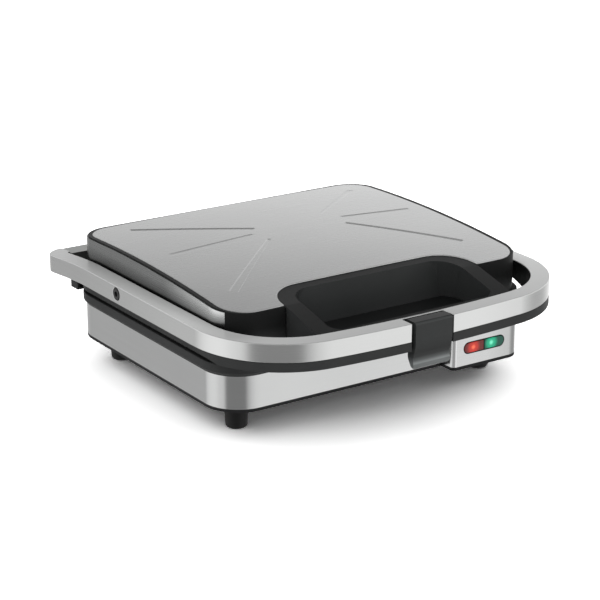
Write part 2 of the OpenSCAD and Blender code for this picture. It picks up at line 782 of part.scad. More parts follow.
// One ear of the hinge, standing on the housing
module hinge_lug() {
    difference() {
        union() {
            translate([-lug_t / 2, hinge_y, hinge_z]) rotate([0, 90, 0])
                cylinder(r = lug_r, h = lug_t);
            translate([-lug_t / 2, hinge_y - lug_r, housing_top_z - eps])
                cube([lug_t, lug_r - 1, hinge_z - housing_top_z + eps]);
        }
        translate([-lug_t, hinge_y, hinge_z]) rotate([0, 90, 0])
            cylinder(r = hinge_pin_d / 2 + press, h = 2 * lug_t);
    }
}

module housing_screws() placed() color(bright)
    housing_screw_places() translate([0, 0, -4]) screw_up(housing_screw_l);

module hinge_pins() placed() color(bright) both_sides() {
    reach = lug_x + lug_t;
    translate([knuckle_x - reach, hinge_y, hinge_z]) rotate([0, 90, 0])
        cylinder(d = hinge_pin_d, h = 2 * reach);
    translate([knuckle_x + reach, hinge_y, hinge_z]) rotate([0, 90, 0])
        cylinder(d = hinge_pin_d + 2, h = 1.5);
}

module catch_screw_places() {
    for (s = [-1, 1]) translate([s * 6, -base_d / 2, step_z - 2.3])
        rotate([-90, 0, 0]) children();
}

// The arm that the latch hooks over: a foot on the skirt, a riser and a long flat nose
module catch_arm() placed() color(black) difference() {
    y0 = -base_d / 2;
    y1 = -base_d / 2 - rim_out - 1.5;
    y2 = y1 - catch_t;
    profile([[y0, step_z - 6.5], [y0, step_z - 1], [y1, step_z + 3.5], [y1, catch_top_z],
             [catch_nose_y, catch_top_z], [catch_nose_y, catch_low_z], [y2, catch_low_z],
             [y2, step_z + 5], [y0 - catch_foot_t, step_z + 1],
             [y0 - catch_foot_t, step_z - 6.5]], catch_w);
    catch_screw_places() cylinder(d = catch_screw_d + 2 * fit, h = 12, center = true);
}

module catch_screws() placed() color(bright)
    catch_screw_places() translate([0, 0, -catch_foot_t])
        screw_up(catch_foot_t + sheet + 2.4, catch_screw_d, catch_screw_d + 2.4);

// The lid's moulding: a lower rim with the plate's ledge, walls, a deck with screw wells, a bead
module lid_frame() placed() color(black) difference() {
    intersection() {
        union() {
            translate([0, 0, lid_z]) linear_extrude(lid_rim_h) lid_plan(lid_rim_out);
            translate([0, 0, lid_step_z - eps]) linear_extrude(lid_h) lid_plan(-sheet);
            translate([0, 0, lid_step_z - eps]) linear_extrude(lid_h) intersection() {
                lid_plan(0);
                translate([-lid_w / 2, -lid_front]) square([lid_w, skin_end]);
            }
        }
        under_arch(bead_drop);
    }
    difference() {
        translate([0, 0, lid_z - eps]) linear_extrude(2 * lid_h) lid_plan(-sheet - lid_wall - 2);
        difference() {
            under_arch(sheet);
            under_arch(sheet + lid_wall);
        }
        translate([0, 0, lid_z]) linear_extrude(lid_rim_h) lid_plan(0);
        four(screw_x, screw_y) translate([0, 0, upper_tray_z])
            cylinder(d = well_d, h = lid_h);
        bar_screw_places() translate([0, 0, 2]) cylinder(d = 10, h = 16);
    }
    difference() {
        translate([0, 0, lid_step_z]) linear_extrude(2 * lid_h) top_plan(fit);
        under_arch(sheet);
    }
    translate([0, 0, lid_z - eps]) linear_extrude(upper_ledge_z - lid_z + eps) plate_plan(0.5);
    translate([0, 0, lid_z]) linear_extrude(lid_rim_h + eps) plate_plan(0.5 - flange_w);
    translate([0, 0, floor_z - pocket_t - fit]) linear_extrude(lid_h) pocket_plan(-fit);
    four(screw_x, screw_y) {
        translate([0, 0, upper_tray_z + well_floor])
            cylinder(d = screw_head_d + 1, h = lid_h);
        translate([0, 0, upper_tray_z - eps]) cylinder(d = screw_d + 0.4, h = lid_h);
    }
    side_screw_places() cylinder(d = side_shank_d + 2 * press, h = 30);
    bar_screw_places() cylinder(d = screw_d + 2 * press, h = 12);
}

module lid_side_band() placed() color(dark_steel) difference() {
    intersection() {
        translate([0, 0, lid_step_z]) linear_extrude(lid_h) difference() {
            lid_plan(0);
            lid_plan(-sheet);
        }
        under_arch(skin_drop);
    }
    translate([-lid_w, -lid_front - eps, lid_z]) cube([2 * lid_w, skin_end + eps, 2 * lid_h]);
    side_screw_places() cylinder(d = side_shank_d + 0.4, h = 30);
}

module lid_top_plate() placed() color(steel) difference() {
    intersection() {
        translate([0, 0, lid_step_z]) linear_extrude(2 * lid_h) top_plan(0);
        under_arch(0);
    }
    under_arch(sheet);
}

// The room for fingers, its walls moved out by g
module finger_room(g) {
    y1 = -lid_front + pocket_in - pocket_rear_rim + g;
    top = crown_z + 10;
    r = pocket_r - pocket_rear_rim;
    intersection() {
        translate([0, 0, floor_z - g]) linear_extrude(lid_h)
            plan(pocket_w - 2 * pocket_rim + 2 * g, -band_front + band_flange + 5.5 - g, y1,
                 10 + g, r + g);
        profile([[y1 + 1, top], [y1, crown_z - 6], [y1 - pocket_lean, floor_z - g],
                 [-band_front, floor_z - g], [-band_front, top]], pocket_w);
    }
}

// The pocket's top: along the arch inside the lid, then straight down to the handle, less drop
module pocket_under(drop) {
    y0 = -lid_front;
    z0 = crown_z - arch_r + sqrt(pow(arch_r, 2) - pow(y0 - arch_back, 2));
    intersection() {
        under_arch(drop);
        profile([[-band_front, band_top_z - drop - 0.4], [y0 - 44, band_top_z - drop],
                 [y0, z0 - drop], [y0 + 1, z0 + 20], [0, z0 + 20], [0, lid_z],
                 [-band_front, lid_z]], pocket_w + 20);
    }
}

module finger_pocket() placed() color(charcoal) intersection() {
    translate([0, 0, lid_z]) linear_extrude(lid_h) band_plan(band_flange + 0.1);
    difference() {
        union() {
            difference() {
                intersection() {
                    translate([0, 0, lid_z]) linear_extrude(lid_h) pocket_plan(0);
                    pocket_under(pocket_drop);
                }
                pocket_under(lid_wall);
            }
            intersection() {
                finger_room(pocket_t);
                pocket_under(lid_wall / 2);
            }
            intersection() {
                translate([0, 0, floor_z - pocket_t]) linear_extrude(lid_h) difference() {
                    pocket_plan(0);
                    pocket_plan(pocket_t);
                    translate([-pocket_w, -lid_front - 0.6]) square([2 * pocket_w, lid_front]);
                }
                pocket_under(lid_wall / 2);
            }
            translate([0, 0, floor_z - pocket_t]) linear_extrude(pocket_t) intersection() {
                pocket_plan(pocket_t / 2);
                translate([-pocket_w, -2 * lid_front]) square([2 * pocket_w, lid_front - 0.6]);
            }
        }
        finger_room(0);
    }
}

// How far the arms have fallen at y
function arm_fall(y) = band_dip * pow(max(0, y - band_rear + dip_run) / dip_run, 1.3);

// Everything between two heights above the web's lower edge, following the arms' fall
module band_level(low, high) {
    from = band_rear - dip_run;
    ys = [for (i = [0 : 9]) from + i * (dip_run + 4) / 9];
    profile(concat([[-band_front - 5, band_z + low]], [for (y = ys) [y, band_z + low - arm_fall(y)]],
                   [for (i = [9 : -1 : 0]) [ys[i], band_z + high - arm_fall(ys[i])]],
                   [[-band_front - 5, band_z + high]]), band_w + 10);
}

// The handle's outline shrunk by g, standing well above and below the band
module band_block(g) {
    translate([0, 0, grip_z - 10]) linear_extrude(band_top_z - grip_z + 20) band_plan(g);
}

// The notch in the handle's front that the latch sits in
module latch_notch() {
    translate([-notch_x, -band_front - eps, grip_z - eps])
        cube([2 * notch_x, notch_y + band_front + eps, band_top_z - grip_z + 2 * eps]);
}

// The stretch behind the lid where the rear bar takes the handle's place
module rear_gap() {
    translate([-rear_gap_x, rear_bar_y - 6, lid_z])
        cube([2 * rear_gap_x, band_rear - rear_bar_y + 8, lid_h]);
}

module side_screw_places() {
    for (s = [-1, 1]) translate([s * band_w / 2, side_screw_y, band_z + band_h * 0.54])
        rotate([0, -s * 90, 0]) children();
}

module handle_band() placed() color(steel) difference() {
    intersection() {
        band_block(0);
        band_level(0, band_h);
    }
    intersection() {
        band_block(sheet);
        band_level(-2, band_h - sheet);
    }
    band_block(band_flange);
    latch_notch();
    rear_gap();
    side_screw_places() translate([0, 0, -eps]) cylinder(d = side_head_d + 1, h = 12);
}

module handle_core() placed() color(black) difference() {
    union() {
        intersection() {
            band_block(sheet);
            band_level(0, band_h - sheet);
        }
        intersection() {
            translate([0, 0, grip_z]) linear_extrude(grip_drop) band_plan(0);
            profile([[-band_front - 5, grip_z], [-grip_full_y, grip_z], [-grip_end_y, band_z],
                     [-band_front - 5, band_z]], band_w + 10);
        }
    }
    band_block(band_flange);
    latch_notch();
    rear_gap();
    side_screw_places() {
        translate([0, 0, -eps]) cylinder(d = side_head_d + 1, h = 3.4 + eps);
        cylinder(d = side_shank_d + 0.4, h = 30);
    }
    translate([0, latch_pin_y, latch_pin_z]) rotate([0, 90, 0])
        cylinder(d = latch_pin_d + 2 * press, h = latch_w + 14, center = true, $fn = 48);
}

module bar_screw_places() {
    for (s = [-1, 1], z = [0, 1])
        translate([s * (strut_x - 6 + 12 * z), lid_rear + lid_rim_out, lid_z + 3.8])
            rotate([90, 0, 0]) children();
}

// The bar behind the lid: it closes the handle, carries the knuckles and is screwed to the lid
module rear_bar() placed() color(charcoal) difference() {
    union() {
        translate([-rear_gap_x, rear_bar_y, rear_bar_z])
            cube([2 * rear_gap_x, rear_bar_d, rear_bar_h]);
        both_sides() {
            translate([strut_x - strut_w / 2, lid_rear + lid_rim_out, lid_z])
                cube([strut_w, strut_t, rear_bar_z - lid_z + 4]);
            translate([strut_x - strut_w / 2, lid_rear + lid_rim_out, rear_bar_z])
                cube([strut_w, rear_bar_y - lid_rear - lid_rim_out + eps, 4]);
            translate([knuckle_x - knuckle_w / 2, hinge_y, hinge_z]) rotate([0, 90, 0])
                cylinder(r = knuckle_r, h = knuckle_w);
            translate([knuckle_x - knuckle_w / 2, hinge_y - knuckle_r, hinge_z])
                cube([knuckle_w, 2 * knuckle_r, rear_bar_z - hinge_z + eps]);
        }
    }
    both_sides() translate([knuckle_x - knuckle_w, hinge_y, hinge_z]) rotate([0, 90, 0])
        cylinder(r = hinge_pin_d / 2 + run, h = 2 * knuckle_w);
    bar_screw_places() cylinder(d = screw_d + 0.4, h = 4 * strut_t + 4, center = true);
}

module rear_bar_screws() placed() color(bright)
    bar_screw_places() translate([0, 0, -strut_t]) screw_up(strut_t + bar_screw_l);

// A socket-head screw through the handle's side into the lid's wall
module side_screws() placed() color(black)
    side_screw_places() difference() {
        union() {
            translate([0, 0, -0.3]) cylinder(d = side_head_d, h = 3.6);
            cylinder(d = side_shank_d, h = 22);
        }
        translate([0, 0, -eps]) cylinder(d = 4.6, h = 3, $fn = 6);
    }

module arm_spacers() placed() color(black)
    side_screw_places() translate([0, 0, band_flange]) difference() {
        cylinder(d = side_head_d + 2, h = (band_w - lid_w) / 2 - band_flange);
        translate([0, 0, -eps]) cylinder(d = side_shank_d + 0.4, h = 10);
    }

module latch_pin() placed() color(bright)
    translate([0, latch_pin_y, latch_pin_z]) rotate([0, 90, 0])
        cylinder(d = latch_pin_d, h = latch_w + 12, center = true, $fn = 48);

// The clip: a top that turns over the handle, a front plate waisted above its lip, and a hook
module latch() placed() color(charcoal) {
    f = latch_face_y;
    top = latch_top_z;
    low = latch_low_z;
    waist_z = grip_z - 5;
    difference() {
        union() {
            profile([[f + 3.4, top], [f + 1, top - 1], [f, top - 3.4], [f, band_z - 4],
                     [f + 0.5, band_z - 6.5], [f + 3.2, waist_z + 2.5], [f + 3.8, waist_z],
                     [f + 3.2, waist_z - 2.4], [f + 2.2, low + 4.6], [f + 2.1, low + 3],
                     [f + 2.8, low + 1], [f + 4.4, low], [f + 5.8, low + 1.4],
                     [f + latch_t + 5.2, waist_z - 1], [f + latch_t + 5.2, grip_z - 1.5],
                     [f + latch_t, grip_z + 3], [f + latch_t, latch_pin_z - latch_barrel_r],
                     [latch_pin_y, latch_pin_z - latch_barrel_r + 0.4],
                     [latch_pin_y, top - 0.02]], latch_w);
            profile([[f + latch_t, catch_low_z + 0.4], [catch_nose_y - catch_gap, catch_low_z + 0.4],
                     [catch_nose_y - catch_gap, catch_top_z - 1.4], [f + latch_t, catch_top_z]],
                    catch_w);
            translate([0, latch_pin_y, latch_pin_z]) rotate([0, 90, 0])
                cylinder(r = latch_barrel_r, h = latch_w, center = true, $fn = 48);
        }
        translate([0, latch_pin_y, latch_pin_z]) rotate([0, 90, 0])
            cylinder(d = latch_pin_d + 2 * run, h = latch_w + 2 * eps, center = true, $fn = 48);
    }
}

base_skirt();
base_rim();
bottom_cover();
feet();
base_screws();
lamp_panel();
panel_housing();
lens_frame();
red_lens();
green_lens();
lamp_holder();
neon_lamps();
lower_plate();
lower_element();
lower_reflector();
thermostat();
thermal_fuse();
terminal_block();
cord_bush();
hinge_housing();
housing_screws();
hinge_pins();
catch_arm();
catch_screws();
lid_frame();
lid_side_band();
lid_top_plate();
finger_pocket();
handle_band();
handle_core();
rear_bar();
rear_bar_screws();
side_screws();
arm_spacers();
upper_plate();
upper_element();
upper_reflector();
upper_screws();
latch_pin();
latch();
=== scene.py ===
import math
import bmesh
import bpy
from mathutils import Matrix, Vector


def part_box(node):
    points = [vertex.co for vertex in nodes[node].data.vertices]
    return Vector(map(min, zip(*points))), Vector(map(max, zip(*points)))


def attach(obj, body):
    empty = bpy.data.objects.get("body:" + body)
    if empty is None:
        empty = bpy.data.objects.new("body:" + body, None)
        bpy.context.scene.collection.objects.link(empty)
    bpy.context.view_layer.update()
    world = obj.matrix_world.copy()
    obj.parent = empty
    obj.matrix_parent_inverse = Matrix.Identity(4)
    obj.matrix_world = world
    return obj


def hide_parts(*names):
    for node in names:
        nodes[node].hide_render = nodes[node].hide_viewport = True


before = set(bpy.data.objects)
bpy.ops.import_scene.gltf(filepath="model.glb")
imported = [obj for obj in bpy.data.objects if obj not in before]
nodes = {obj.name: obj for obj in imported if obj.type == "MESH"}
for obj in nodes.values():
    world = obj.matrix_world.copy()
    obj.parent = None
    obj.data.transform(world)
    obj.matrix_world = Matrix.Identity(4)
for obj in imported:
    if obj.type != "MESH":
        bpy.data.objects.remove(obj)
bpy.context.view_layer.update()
mm = 0.001
merge = {"piece": 0.000004, "solid": 0.000006}  # distance within which two points are one
noiseSpan = (0.3, 0.7)  # where nearly all values of a noise texture lie
bumpDepth = {"brushed": 0.00006, "moulded": 0.00012}
streakShare = 0.55  # of the brushed tone, the rest comes from broad patches
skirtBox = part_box("base_skirt")
centreY = (skirtBox[0].y + skirtBox[1].y) / 2  # the base's middle, front to back
print("frame loaded")

# camera
shot = {"azimuth": -33.8, "elevation": 18.81, "distance": 1.89796, "lens": 121.56,
        "target": (0.12158, 0.17963, -0.01987)}
azimuth, elevation = math.radians(shot["azimuth"]), math.radians(shot["elevation"])
backward = Vector((math.sin(azimuth) * math.cos(elevation),
                   -math.cos(azimuth) * math.cos(elevation), math.sin(elevation)))
cameraData = bpy.data.cameras.new("camera")
cameraData.lens = shot["lens"]
cameraData.sensor_width = 36
cameraData.clip_end = 50
cameraObject = bpy.data.objects.new("camera", cameraData)
bpy.context.scene.collection.objects.link(cameraObject)
cameraObject.location = Vector(shot["target"]) + Vector((0, centreY, 0)) + backward * shot["distance"]
cameraObject.rotation_mode = "QUATERNION"
cameraObject.rotation_quaternion = (-backward).to_track_quat("-Z", "Y")
bpy.context.scene.camera = cameraObject
bpy.context.scene.view_settings.view_transform = "Standard"


# shader groups

def newGroup(name, inputs, outputs):
    group = bpy.data.node_groups.new(name, "ShaderNodeTree")
    for kind, label, value in inputs:
        socket = group.interface.new_socket(name=label, in_out="INPUT", socket_type=kind)
        if value is not None:
            socket.default_value = value
    for kind, label in outputs:
        group.interface.new_socket(name=label, in_out="OUTPUT", socket_type=kind)
    return group, group.nodes.new("NodeGroupInput"), group.nodes.new("NodeGroupOutput")


def makeGrainGroup():  # long thin streaks, as brushing leaves on sheet steel
    group, inputs, outputs = newGroup(
        "brushedGrain",
        [("NodeSocketVector", "Vector", None), ("NodeSocketVector", "Stretch", (40, 40, 2500)),
         ("NodeSocketFloat", "Patch size", 9.0)],
        [("NodeSocketFloat", "Streak"), ("NodeSocketFloat", "Patch")])
    links = group.links
    stretch = group.nodes.new("ShaderNodeVectorMath")
    stretch.operation = "MULTIPLY"
    links.new(inputs.outputs["Vector"], stretch.inputs[0])
    links.new(inputs.outputs["Stretch"], stretch.inputs[1])
    streak = group.nodes.new("ShaderNodeTexNoise")
    streak.inputs["Scale"].default_value = 1.0
    streak.inputs["Detail"].default_value = 4.0
    streak.inputs["Roughness"].default_value = 0.6
    links.new(stretch.outputs[0], streak.inputs["Vector"])
    patch = group.nodes.new("ShaderNodeTexNoise")
    patch.inputs["Detail"].default_value = 2.0
    links.new(inputs.outputs["Vector"], patch.inputs["Vector"])
    links.new(inputs.outputs["Patch size"], patch.inputs["Scale"])
    links.new(streak.outputs["Fac"], outputs.inputs["Streak"])
    links.new(patch.outputs["Fac"], outputs.inputs["Patch"])
    return group


def makeMouldGroup():  # fine pebble of a moulded or cast surface, and its slow drift in tone
    group, inputs, outputs = newGroup(
        "mouldGrain",
        [("NodeSocketVector", "Vector", None), ("NodeSocketFloat", "Grain", 1800.0),
         ("NodeSocketFloat", "Drift", 14.0)],
        [("NodeSocketFloat", "Pebble"), ("NodeSocketFloat", "Drift")])
    links = group.links
    pebble = group.nodes.new("ShaderNodeTexNoise")
    pebble.inputs["Detail"].default_value = 3.0
    drift = group.nodes.new("ShaderNodeTexNoise")
    drift.inputs["Detail"].default_value = 3.0
    links.new(inputs.outputs["Vector"], pebble.inputs["Vector"])
    links.new(inputs.outputs["Grain"], pebble.inputs["Scale"])
    links.new(inputs.outputs["Vector"], drift.inputs["Vector"])
    links.new(inputs.outputs["Drift"], drift.inputs["Scale"])
    links.new(pebble.outputs["Fac"], outputs.inputs["Pebble"])
    links.new(drift.outputs["Fac"], outputs.inputs["Drift"])
    return group


grainGroup = makeGrainGroup()
mouldGroup = makeMouldGroup()


def startMaterial(name):
    material = bpy.data.materials.new(name)
    material.use_nodes = True
    tree = material.node_tree
    return material, tree, tree.nodes["Principled BSDF"]


def blendColours(tree, factor, dark, light):
    ramp = tree.nodes.new("ShaderNodeValToRGB")
    ramp.color_ramp.elements[0].position = noiseSpan[0]
    ramp.color_ramp.elements[1].position = noiseSpan[1]
    ramp.color_ramp.elements[0].color = (*dark, 1)
    ramp.color_ramp.elements[1].color = (*light, 1)
    tree.links.new(factor, ramp.inputs[0])
    return ramp.outputs[0]


def spread(tree, factor, low, high):
    span = tree.nodes.new("ShaderNodeMapRange")
    span.inputs["From Min"].default_value = noiseSpan[0]
    span.inputs["From Max"].default_value = noiseSpan[1]
    span.inputs["To Min"].default_value = low
    span.inputs["To Max"].default_value = high
    tree.links.new(factor, span.inputs["Value"])
    return span.outputs[0]


def roughen(tree, shader, height, strength, depth):
    bump = tree.nodes.new("ShaderNodeBump")
    bump.inputs["Strength"].default_value = strength
    bump.inputs["Distance"].default_value = depth
    tree.links.new(height, bump.inputs["Height"])
    tree.links.new(bump.outputs[0], shader.inputs["Normal"])


def setStops(ramp, stops, start, end):
    elements = ramp.color_ramp.elements
    while len(elements) > 1:
        elements.remove(elements[-1])
    for i, (place, tone) in enumerate(stops):
        at = (place - start) / (end - start)
        element = elements[0] if i == 0 else elements.new(at)
        element.position = at
        element.color = (tone, tone, tone, 1)


def toneAlong(tree, where, axis, stops):  # a tone that changes along the object
    parts = tree.nodes.new("ShaderNodeSeparateXYZ")
    tree.links.new(where.outputs["Object"], parts.inputs[0])
    place = tree.nodes.new("ShaderNodeMapRange")
    place.inputs["From Min"].default_value = stops[0][0]
    place.inputs["From Max"].default_value = stops[-1][0]
    tree.links.new(parts.outputs[axis], place.inputs["Value"])
    ramp = tree.nodes.new("ShaderNodeValToRGB")
    setStops(ramp, stops, stops[0][0], stops[-1][0])
    tree.links.new(place.outputs[0], ramp.inputs[0])
    return ramp.outputs[0]


def facingUp(tree, level, up, turn=(0.75, 0.98)):  # one value on walls, another on faces that look up
    facing = tree.nodes.new("ShaderNodeNewGeometry")
    parts = tree.nodes.new("ShaderNodeSeparateXYZ")
    tree.links.new(facing.outputs["Normal"], parts.inputs[0])
    value = tree.nodes.new("ShaderNodeMapRange")
    value.inputs["From Min"].default_value = turn[0]
    value.inputs["From Max"].default_value = turn[1]
    value.inputs["To Min"].default_value = level
    if isinstance(up, float):
        value.inputs["To Max"].default_value = up
    else:
        tree.links.new(up, value.inputs["To Max"])
    tree.links.new(parts.outputs["Z"], value.inputs["Value"])
    return value.outputs[0]


def scaleColour(tree, colour, amount):
    scaled = tree.nodes.new("ShaderNodeVectorMath")
    scaled.operation = "SCALE"
    tree.links.new(colour, scaled.inputs[0])
    tree.links.new(amount, scaled.inputs["Scale"])
    return scaled.outputs[0]


# painted light and shade: a colour scaled along the object's axes and on faces that look up
def shadeColour(tree, where, colour, along, tone):
    for axis, stops in along:
        colour = scaleColour(tree, colour, toneAlong(tree, where, axis, stops))
    if tone:
        level, up = tone
        if not isinstance(up, float):
            up = toneAlong(tree, where, *up)
        colour = scaleColour(tree, colour, facingUp(tree, level, up))
    return colour


def makeSteel(name, dark, light, rough, stretch, patch=9.0, bump=0.12, along=(), satin=None,
              tone=None):
    material, tree, shader = startMaterial(name)
    where = tree.nodes.new("ShaderNodeTexCoord")
    grain = tree.nodes.new("ShaderNodeGroup")
    grain.node_tree = grainGroup
    grain.inputs["Stretch"].default_value = stretch
    grain.inputs["Patch size"].default_value = patch
    tree.links.new(where.outputs["Object"], grain.inputs["Vector"])
    mix = tree.nodes.new("ShaderNodeMath")
    mix.operation = "MULTIPLY_ADD"
    mix.inputs[1].default_value = streakShare
    patches = tree.nodes.new("ShaderNodeMath")
    patches.operation = "MULTIPLY"
    patches.inputs[1].default_value = 1 - streakShare
    tree.links.new(grain.outputs["Patch"], patches.inputs[0])
    tree.links.new(grain.outputs["Streak"], mix.inputs[0])
    tree.links.new(patches.outputs[0], mix.inputs[2])
    colour = blendColours(tree, mix.outputs[0], dark, light)
    tree.links.new(shadeColour(tree, where, colour, along, tone), shader.inputs["Base Color"])
    tree.links.new(spread(tree, grain.outputs["Streak"], *rough), shader.inputs["Roughness"])
    shader.inputs["Metallic"].default_value = 1.0
    if satin:  # duller where it looks up than on the walls
        tree.links.new(facingUp(tree, *satin), shader.inputs["Metallic"])
    roughen(tree, shader, grain.outputs["Streak"], bump, bumpDepth["brushed"])
    return material


def makePlastic(name, dark, light, rough, grain=1800.0, bump=0.25, metallic=0.0, gloss=0.5,
                along=(), tone=None, edgeHighlight=None):
    material, tree, shader = startMaterial(name)
    where = tree.nodes.new("ShaderNodeTexCoord")
    mould = tree.nodes.new("ShaderNodeGroup")
    mould.node_tree = mouldGroup
    mould.inputs["Grain"].default_value = grain
    tree.links.new(where.outputs["Object"], mould.inputs["Vector"])
    colour = blendColours(tree, mould.outputs["Drift"], dark, light)
    if edgeHighlight:  # painted highlight: paler where an edge rolls over, between wall and top, and darker on faces that look straight up
        colour = scaleColour(tree, colour, facingUp(tree, 1.0, edgeHighlight, (0.08, 0.25)))
        colour = scaleColour(tree, colour, facingUp(tree, 1.0, 1 / edgeHighlight, (0.9, 0.985)))
    tree.links.new(shadeColour(tree, where, colour, along, tone), shader.inputs["Base Color"])
    tree.links.new(spread(tree, mould.outputs["Pebble"], *rough), shader.inputs["Roughness"])
    shader.inputs["Metallic"].default_value = metallic
    shader.inputs["Specular IOR Level"].default_value = gloss
    roughen(tree, shader, mould.outputs["Pebble"], bump, bumpDepth["moulded"])
    return material


def makeLens(name, dark, glow, hot, place, reach, strength):
    material, tree, shader = startMaterial(name)
    where = tree.nodes.new("ShaderNodeTexCoord")
    shift = tree.nodes.new("ShaderNodeMapping")
    shift.inputs["Location"].default_value = [-c for c in place]
    tree.links.new(where.outputs["Object"], shift.inputs["Vector"])
    size = tree.nodes.new("ShaderNodeVectorMath")
    size.operation = "LENGTH"
    tree.links.new(shift.outputs[0], size.inputs[0])
    ramp = tree.nodes.new("ShaderNodeValToRGB")
    ramp.color_ramp.interpolation = "EASE"
    ramp.color_ramp.elements[0].position = 0.0
    ramp.color_ramp.elements[0].color = (*hot, 1)
    ramp.color_ramp.elements[1].position = 1.0
    ramp.color_ramp.elements[1].color = (*dark, 1)
    middle = ramp.color_ramp.elements.new(0.4)
    middle.color = (*glow, 1)
    near = tree.nodes.new("ShaderNodeMapRange")
    near.inputs["From Max"].default_value = reach
    tree.links.new(size.outputs["Value"], near.inputs["Value"])
    tree.links.new(near.outputs[0], ramp.inputs[0])
    tree.links.new(ramp.outputs[0], shader.inputs["Base Color"])
    tree.links.new(ramp.outputs[0], shader.inputs["Emission Color"])
    shader.inputs["Emission Strength"].default_value = strength
    mould = tree.nodes.new("ShaderNodeGroup")
    mould.node_tree = mouldGroup
    mould.inputs["Grain"].default_value = 700.0
    tree.links.new(where.outputs["Object"], mould.inputs["Vector"])
    tree.links.new(spread(tree, mould.outputs["Drift"], 0.08, 0.16), shader.inputs["Roughness"])
    shader.inputs["Specular IOR Level"].default_value = 0.3
    shader.inputs["Coat Weight"].default_value = 0.2
    return material


alongWalls = (5, 5, 2600)  # brushed round the walls, level with the table
acrossLid = (7, 2400, 300)  # brushed from side to side over the lid
# painted sheen: the lid's steel darker towards the left and paler towards the right
lidSteel = makeSteel(
    "lidSteel", (0.72, 0.725, 0.725), (0.77, 0.775, 0.77), (0.25, 0.33), acrossLid, bump=0.05,
    along=[("X", [(-0.15, 0.82), (0.16, 1.14)])])
# painted shade: the side skin darker towards the bottom, where it meets the handle band; painted
# highlight: much paler towards its front end
sideSteel = makeSteel(
    "sideSteel", (0.38, 0.385, 0.385), (0.42, 0.425, 0.42), (0.24, 0.32), alongWalls, bump=0.03,
    along=[("Z", [(0.089, 0.3), (0.102, 1.0)]),
           ("Y", [(-0.11, 2.4), (-0.08, 1.9), (-0.01, 0.65), (0.09, 0.62)])])
wallSteel = {"dark": (0.57, 0.575, 0.575), "light": (0.63, 0.635, 0.63), "rough": (0.15, 0.21),
             "stretch": alongWalls, "bump": 0.06}
skirtSteel = makeSteel("skirtSteel", **wallSteel)
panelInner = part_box("lamp_panel")[0].x
panelSteel = makeSteel(
    "panelSteel", **wallSteel,
    along=[("X", [(panelInner + 0.0005, 1.0), (panelInner + 0.0012, 1.7),  # painted highlight: paler inner corner; painted shade: darker towards the right end
                  (panelInner + 0.0026, 1.7), (panelInner + 0.0038, 1.0), (0.09, 1.0), (0.112, 0.85)])])
# painted shade on the band's faces that look up (its flange beside the lid), darkest at the front; painted
# sheen: paler towards the front and towards the right
handleSteel = makeSteel(
    "handleSteel", (0.64, 0.645, 0.64), (0.69, 0.695, 0.69), (0.20, 0.27), alongWalls, bump=0.06,
    satin=(1.0, 0.12), along=[("Y", [(-0.06, 1.06), (0.1, 0.88)]), ("X", [(0.0, 1.0), (0.14, 1.12)])],
    tone=(1.0, ("Y", [(-0.17, 0.47), (-0.1, 0.58), (-0.06, 0.72), (0.03, 0.72), (0.1, 0.62)])))
barSteel = makeSteel("barSteel", (0.40, 0.41, 0.40), (0.46, 0.47, 0.46), (0.28, 0.40), (2600, 5, 5))
screwSteel = makeSteel("screwSteel", (0.55, 0.55, 0.55), (0.68, 0.68, 0.68), (0.15, 0.3), (300, 300, 300))
elementSteel = makeSteel(
    "elementSteel", (0.20, 0.19, 0.18), (0.34, 0.32, 0.30), (0.35, 0.5), (300, 300, 60))
trayMetal = makeSteel("trayMetal", (0.62, 0.62, 0.62), (0.78, 0.78, 0.78), (0.18, 0.3), (20, 900, 900))
# painted shade: darker from 74 mm height up, a third as bright from 86 mm up
rimPlastic = makePlastic(
    "rimPlastic", (0.026, 0.027, 0.027), (0.034, 0.035, 0.035), (0.38, 0.48), gloss=0.12,
    along=[("Z", [(0.074, 1.0), (0.086, 0.35)])])
basePlastic = makePlastic(
    "basePlastic", (0.012, 0.012, 0.013), (0.018, 0.018, 0.019), (0.45, 0.6), gloss=0.15)
# painted light and shade: the pocket's walls paler, its faces that look up darker
pocketPlastic = makePlastic(
    "pocketPlastic", (0.015, 0.016, 0.016), (0.020, 0.021, 0.021), (0.34, 0.44), gloss=0.15,
    tone=(1.7, 0.4))
# painted light and shade on the latch: its lower lip much paler, a darker band about 66 mm up, its tops
# darker, and a painted highlight on rounded edges
latchPlastic = makePlastic(
    "latchPlastic", (0.026, 0.028, 0.028), (0.033, 0.035, 0.035), (0.30, 0.38), bump=0.12, gloss=0.2,
    tone=(1.0, 0.3), edgeHighlight=1.6,
    along=[("Z", [(0.057, 4.4), (0.0625, 0.9), (0.066, 0.55), (0.076, 0.85)])])
footRubber = makePlastic(
    "footRubber", (0.008, 0.008, 0.008), (0.014, 0.014, 0.014), (0.5, 0.65), 1200.0, 0.4, gloss=0.2)
blackSteel = makePlastic(
    "blackSteel", (0.02, 0.02, 0.02), (0.035, 0.035, 0.035), (0.22, 0.34), 900.0, 0.1, 0.6)
ceramic = makePlastic("ceramic", (0.62, 0.58, 0.50), (0.74, 0.70, 0.62), (0.4, 0.55))
plateCoating = makePlastic(
    "plateCoating", (0.034, 0.034, 0.034), (0.046, 0.046, 0.045), (0.32, 0.42), 1500.0, 0.35, gloss=0.3)
lampGlass = makePlastic("lampGlass", (0.75, 0.40, 0.22), (0.85, 0.5, 0.3), (0.1, 0.2), 500.0, 0.05)

